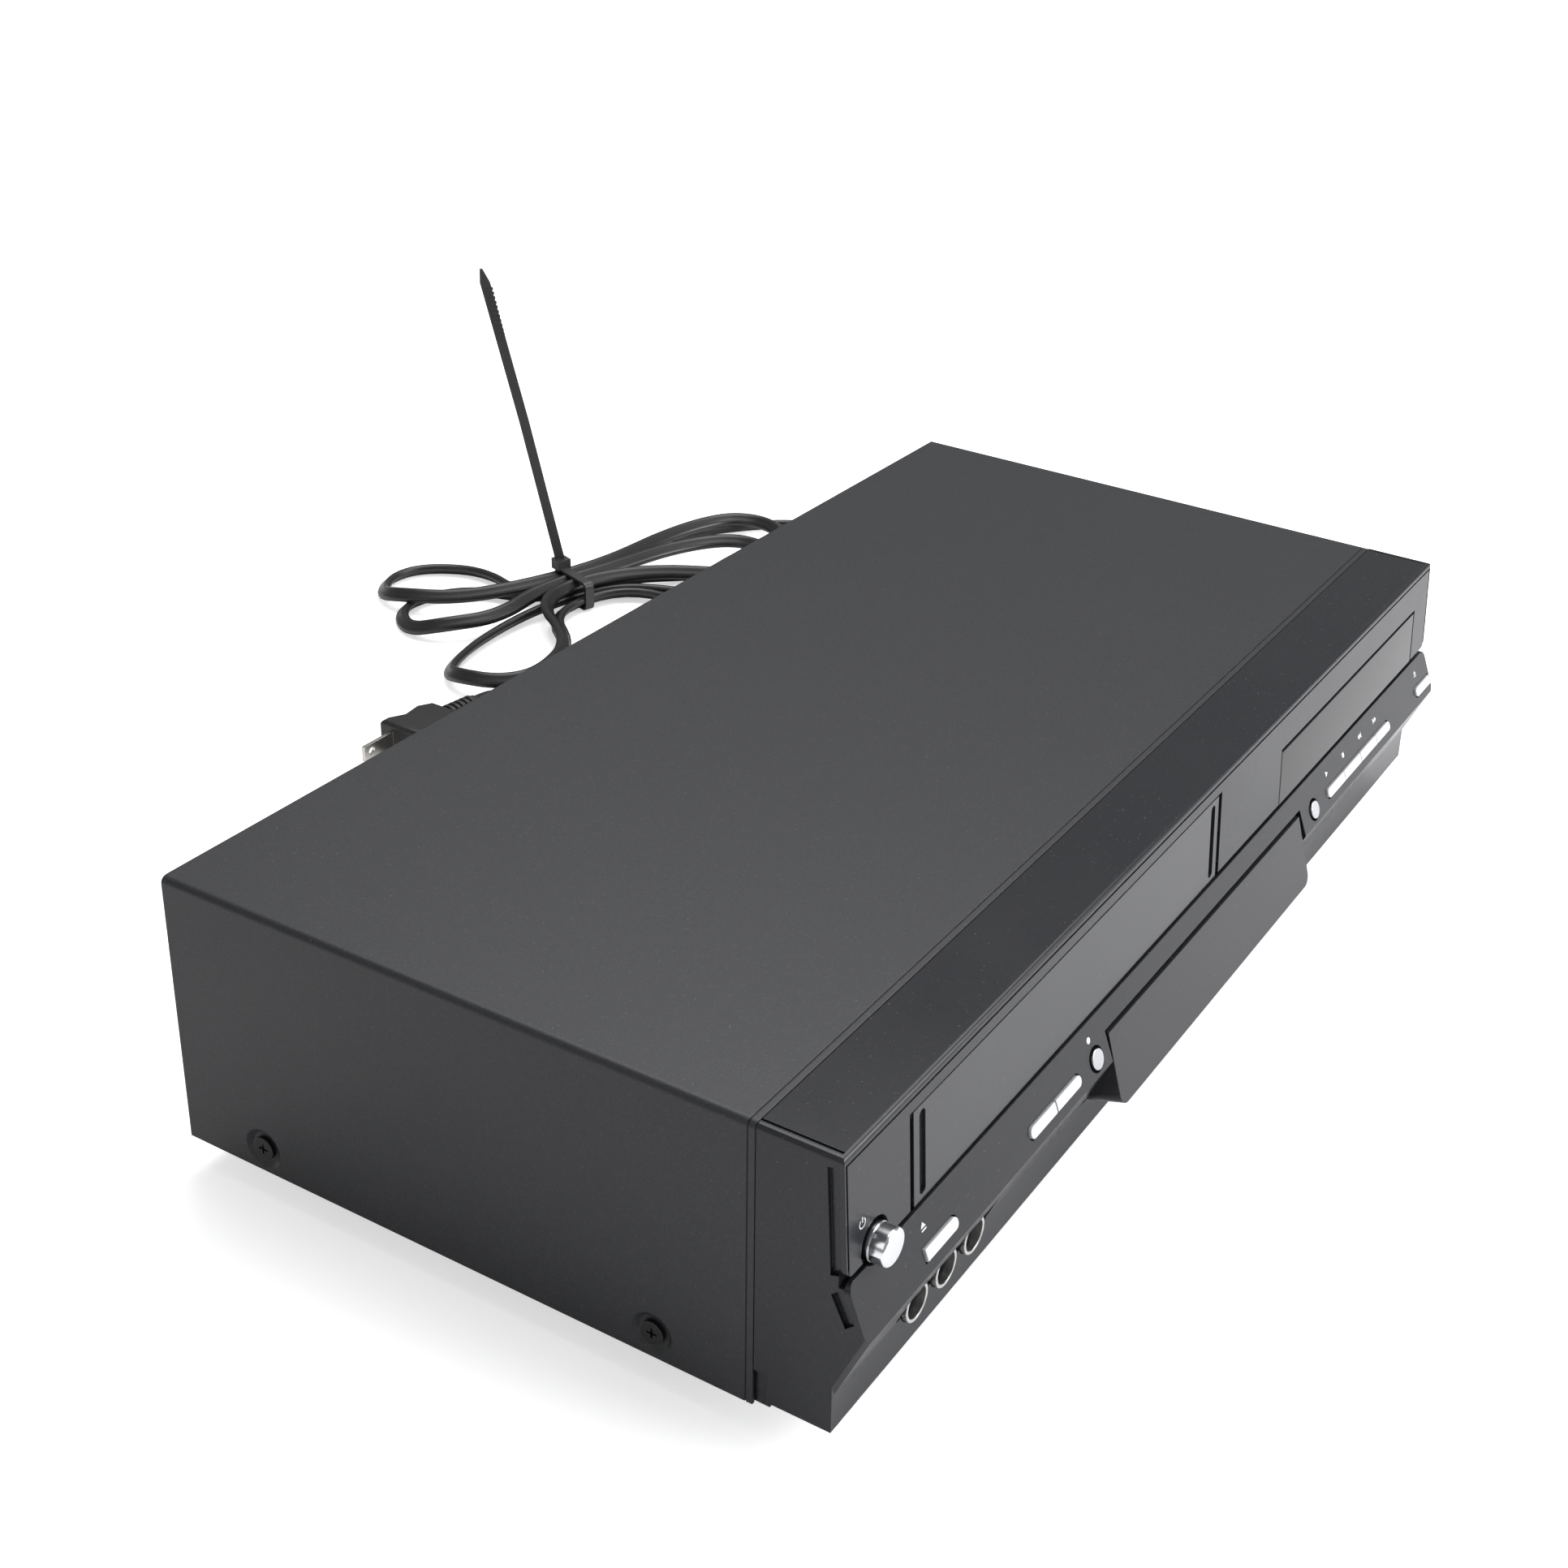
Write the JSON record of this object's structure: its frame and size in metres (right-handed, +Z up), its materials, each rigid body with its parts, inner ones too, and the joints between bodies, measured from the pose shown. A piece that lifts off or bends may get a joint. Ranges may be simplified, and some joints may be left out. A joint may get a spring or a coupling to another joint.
{
  "type": "dvd vcr combo player",
  "caption": "Flat tabletop disc and video cassette player with a slanted control band, leaning display bay, disc tray, cassette flap and tied mains lead.",
  "frame": {"origin": "middle of the footprint of the deck without its mains lead, on the surface under its feet", "axes": "+X to the viewer's right when facing the front, +Y towards the back, +Z up"},
  "size_m": [0.5149, 0.4774, 0.1571],
  "materials": {
    "cover_paint": "matte speckled powder coat",
    "zinc_sheet": "galvanised",
    "foot_rubber": "matte",
    "black_screw": "satin black",
    "panel_plastic": "satin gloss",
    "door_plastic": "satin gloss",
    "key_white": "satin",
    "chrome": "polished",
    "smoked_window": "polished smoked window",
    "tube_glass": "clear",
    "jack_metal": "nickel plated",
    "jack_block": "matte",
    "nickel": "nickel plated",
    "cord_vinyl": "satin vinyl",
    "plug_vinyl": "satin vinyl",
    "tie_nylon": "satin nylon",
    "board_green": "solder mask",
    "board_tan": "paper board",
    "black_parts": "moulded",
    "black_moulding": "moulded",
    "tray_plastic": "fine texture",
    "white_nylon": "natural nylon",
    "steel": "ground",
    "cast_alloy": "machined"
  },
  "bodies": {
    "casing": {"bottom_pan": "zinc_sheet", "feet": "foot_rubber", "rear_panel": "cover_paint", "top_cover": "cover_paint", "cover_screws": "black_screw", "front_panel": "panel_plastic", "display_bay": "smoked_window", "display_tube": "tube_glass", "front_jacks": "jack_block", "jack_rings": "jack_metal", "rear_jacks": "jack_block", "aerial_sockets": "nickel", "tuner_can": "zinc_sheet", "cord_bushing": "cord_vinyl", "main_board": "board_green", "board_parts": "black_parts", "power_board": "board_tan", "power_parts": "black_parts", "front_board": "board_tan", "key_switches": "black_parts", "dvd_frame": "black_moulding", "tray_gear_pin": "steel", "clamp_bridge": "zinc_sheet", "deck_plate": "zinc_sheet", "drum_base": "cast_alloy", "tape_guides": "steel", "loading_frame": "zinc_sheet", "power_cord_lead": "cord_vinyl", "power_cord_hank": "cord_vinyl", "power_cord_end": "cord_vinyl", "power_plug": "plug_vinyl", "cable_tie": "tie_nylon"},
    "cassette_door": {"cassette_door": "door_plastic"},
    "disc_tray": {"disc_tray": "tray_plastic", "tray_front": "door_plastic"},
    "tray_gear": {"tray_gear": "white_nylon"},
    "traverse": {"traverse_frame": "zinc_sheet", "guide_rods": "steel"},
    "turntable": {"turntable": "black_moulding"},
    "laser_sled": {"laser_sled": "cast_alloy"},
    "clamp_puck": {"clamp_puck": "black_moulding"},
    "carriage": {"carriage_slider": "steel"},
    "cassette_holder": {"cassette_holder": "zinc_sheet"},
    "loading_gear": {"loading_gear": "white_nylon"},
    "head_drum": {"head_drum": "cast_alloy"},
    "capstan": {"capstan": "steel"},
    "supply_reel": {"supply_reel": "black_moulding"},
    "takeup_reel": {"takeup_reel": "black_moulding"},
    "pinch_arm": {"pinch_arm": "black_moulding"},
    "power_knob": {"power_knob": "chrome"},
    "eject_key": {"eject_key": "key_white"},
    "input_key": {"input_key": "key_white"},
    "speed_key": {"speed_key": "key_white"},
    "record_button": {"record_button": "key_white"},
    "selector_button": {"selector_button": "key_white"},
    "rewind_key": {"rewind_key": "key_white"},
    "play_key": {"play_key": "key_white"},
    "stop_key": {"stop_key": "key_white"},
    "forward_key": {"forward_key": "key_white"},
    "tray_key": {"tray_key": "key_white"}
  },
  "joints": [
    {"name": "cassette_door_hinge", "type": "hinge", "parent": "casing", "child": "cassette_door", "pos_m": [0, -0.10835, 0.0902], "axis": [1, 0, 0], "range_deg": [0, 84], "stiffness_Nm_per_rad": 0.02},
    {"name": "disc_tray_slide", "type": "slide", "parent": "casing", "child": "disc_tray", "axis": [0, -1, 0], "range_m": [0, 0.132]},
    {"name": "tray_gear_spin", "type": "hinge", "parent": "casing", "child": "tray_gear", "pos_m": [0.1747, -0.08405, 0.0636], "axis": [0, 0, 1], "range_deg": [-757, 1]},
    {"name": "traverse_tip", "type": "hinge", "parent": "casing", "child": "traverse", "pos_m": [0.1307, 0.04395, 0.056], "axis": [1, 0, 0], "range_deg": [0, 5]},
    {"name": "turntable_spin", "type": "hinge", "parent": "traverse", "child": "turntable", "pos_m": [0.1307, -0.04005, 0.067], "axis": [0, 0, 1], "continuous": true},
    {"name": "laser_sled_slide", "type": "slide", "parent": "traverse", "child": "laser_sled", "axis": [0, 1, 0], "range_m": [0, 0.036]},
    {"name": "clamp_puck_spin", "type": "hinge", "parent": "casing", "child": "clamp_puck", "pos_m": [0.1307, -0.04005, 0.08], "axis": [0, 0, 1], "continuous": true},
    {"name": "carriage_slide", "type": "slide", "parent": "casing", "child": "carriage", "axis": [0, 1, 0], "range_m": [0, 0.056]},
    {"name": "holder_drop", "type": "slide", "parent": "carriage", "child": "cassette_holder", "axis": [0, 0, -1], "range_m": [0, 0.027]},
    {"name": "loading_gear_spin", "type": "hinge", "parent": "casing", "child": "loading_gear", "pos_m": [-0.1873, 0.00195, 0.06], "axis": [1, 0, 0], "range_deg": [-1, 230.2]},
    {"name": "head_drum_spin", "type": "hinge", "parent": "casing", "child": "head_drum", "pos_m": [-0.0833, 0.06595, 0.0304], "axis": [-0.0958, 0, 0.9954], "continuous": true},
    {"name": "capstan_spin", "type": "hinge", "parent": "casing", "child": "capstan", "pos_m": [-0.0253, 0.03795, 0.03], "axis": [0, 0, 1], "continuous": true},
    {"name": "supply_reel_spin", "type": "hinge", "parent": "casing", "child": "supply_reel", "pos_m": [-0.1333, -0.02005, 0.031], "axis": [0, 0, 1], "continuous": true},
    {"name": "takeup_reel_spin", "type": "hinge", "parent": "casing", "child": "takeup_reel", "pos_m": [-0.0413, -0.02005, 0.031], "axis": [0, 0, 1], "continuous": true},
    {"name": "pinch_arm_swing", "type": "hinge", "parent": "casing", "child": "pinch_arm", "pos_m": [-0.0053, 0.04995, 0.043], "axis": [0, 0, 1], "range_deg": [-40, 0]},
    {"name": "power_knob_press", "type": "slide", "parent": "casing", "child": "power_knob", "axis": [0, 1, 0], "range_m": [0, 0.002], "stiffness_N_per_m": 500},
    {"name": "eject_key_press", "type": "slide", "parent": "casing", "child": "eject_key", "axis": [0, 0.9377, -0.3473], "range_m": [0, 0.001], "stiffness_N_per_m": 400},
    {"name": "input_key_press", "type": "slide", "parent": "casing", "child": "input_key", "axis": [0, 0.9377, -0.3473], "range_m": [0, 0.001], "stiffness_N_per_m": 400},
    {"name": "speed_key_press", "type": "slide", "parent": "casing", "child": "speed_key", "axis": [0, 0.9377, -0.3473], "range_m": [0, 0.001], "stiffness_N_per_m": 400},
    {"name": "record_button_press", "type": "slide", "parent": "casing", "child": "record_button", "axis": [0, 0.9377, -0.3473], "range_m": [0, 0.001], "stiffness_N_per_m": 400},
    {"name": "selector_button_press", "type": "slide", "parent": "casing", "child": "selector_button", "axis": [0, 0.9377, -0.3473], "range_m": [0, 0.001], "stiffness_N_per_m": 400},
    {"name": "rewind_key_press", "type": "slide", "parent": "casing", "child": "rewind_key", "axis": [0, 0.9377, -0.3473], "range_m": [0, 0.001], "stiffness_N_per_m": 400},
    {"name": "play_key_press", "type": "slide", "parent": "casing", "child": "play_key", "axis": [0, 0.9377, -0.3473], "range_m": [0, 0.001], "stiffness_N_per_m": 400},
    {"name": "stop_key_press", "type": "slide", "parent": "casing", "child": "stop_key", "axis": [0, 0.9377, -0.3473], "range_m": [0, 0.001], "stiffness_N_per_m": 400},
    {"name": "forward_key_press", "type": "slide", "parent": "casing", "child": "forward_key", "axis": [0, 0.9377, -0.3473], "range_m": [0, 0.001], "stiffness_N_per_m": 400},
    {"name": "tray_key_press", "type": "slide", "parent": "casing", "child": "tray_key", "axis": [0, 0.9377, -0.3473], "range_m": [0, 0.001], "stiffness_N_per_m": 400}
  ],
  "couplings": [
    {"joint": "tray_gear_spin", "follows": "disc_tray_slide", "rad_per_m": -100},
    {"joint": "clamp_puck_spin", "follows": "turntable_spin", "ratio": 1},
    {"joint": "loading_gear_spin", "follows": "carriage_slide", "rad_per_m": 71.429}
  ]
}
